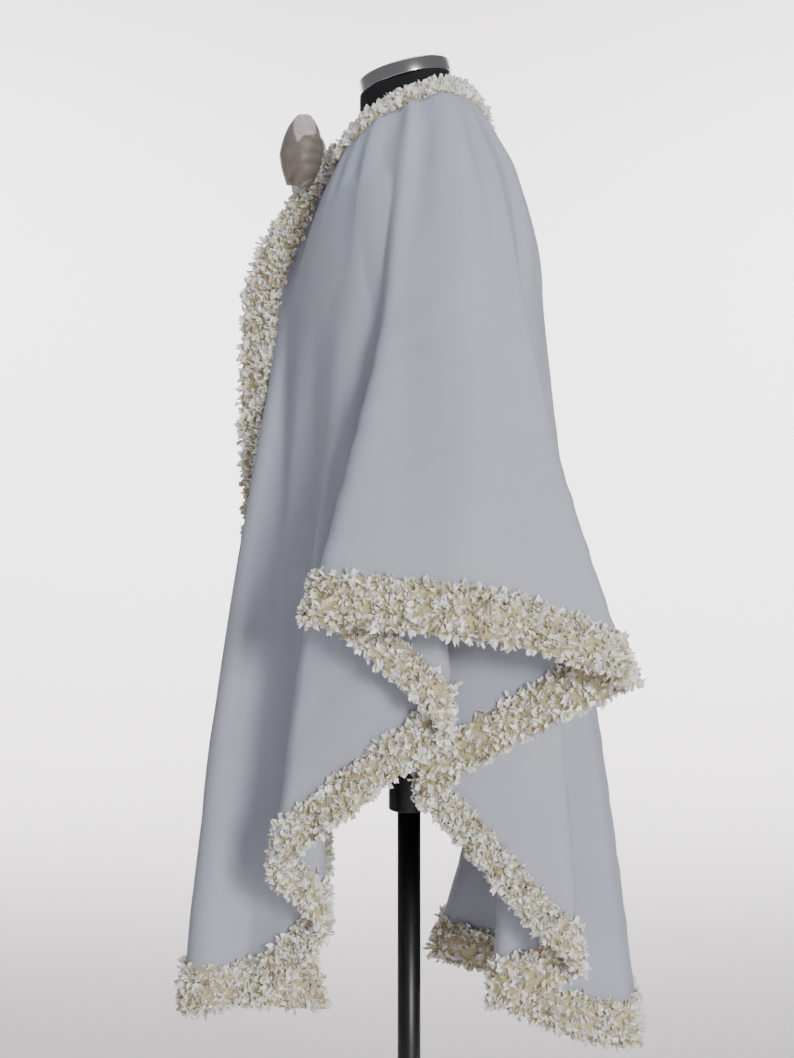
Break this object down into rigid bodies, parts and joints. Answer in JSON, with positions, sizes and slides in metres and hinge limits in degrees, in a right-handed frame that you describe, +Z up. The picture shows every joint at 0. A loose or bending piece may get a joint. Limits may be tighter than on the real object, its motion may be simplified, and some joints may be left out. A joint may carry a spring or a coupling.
{
  "type": "bridal cape on a dress form",
  "caption": "Long draped bridal cape with a frayed ruffle edge and a ribbon bow, on a limbless dress form with a stand.",
  "frame": {"origin": "on the floor, at the centre of the base's underside, under the pole", "axes": "+Z up; the cape's front faces -Y; the wearer's left is +X"},
  "size_m": [0.5823, 0.486, 1.4927],
  "materials": {
    "wool_crepe": "matt off-white wool crepe with a fine pebbled weave",
    "frayed_organza": "ivory and cream frayed petals with a slight sheen",
    "bow_organza": "sheer grey-champagne ribbon with a soft sheen",
    "black_jersey": "matt black stretch cover",
    "brushed_steel": "brushed round the rim",
    "black_paint": "satin black"
  },
  "bodies": {
    "root": {"cape_left": "wool_crepe", "cape_right": "wool_crepe", "neck_trim": "frayed_organza", "front_trim_left": "frayed_organza", "front_trim_right": "frayed_organza", "hem_trim_left": "frayed_organza", "hem_trim_right": "frayed_organza", "bow_loop_left": "bow_organza", "bow_loop_right": "bow_organza", "bow_knot": "bow_organza", "form_torso": "black_jersey", "neck_cap": "brushed_steel", "form_collar": "black_paint", "form_pole": "black_paint", "form_base": "black_paint"}
  },
  "joints": []
}
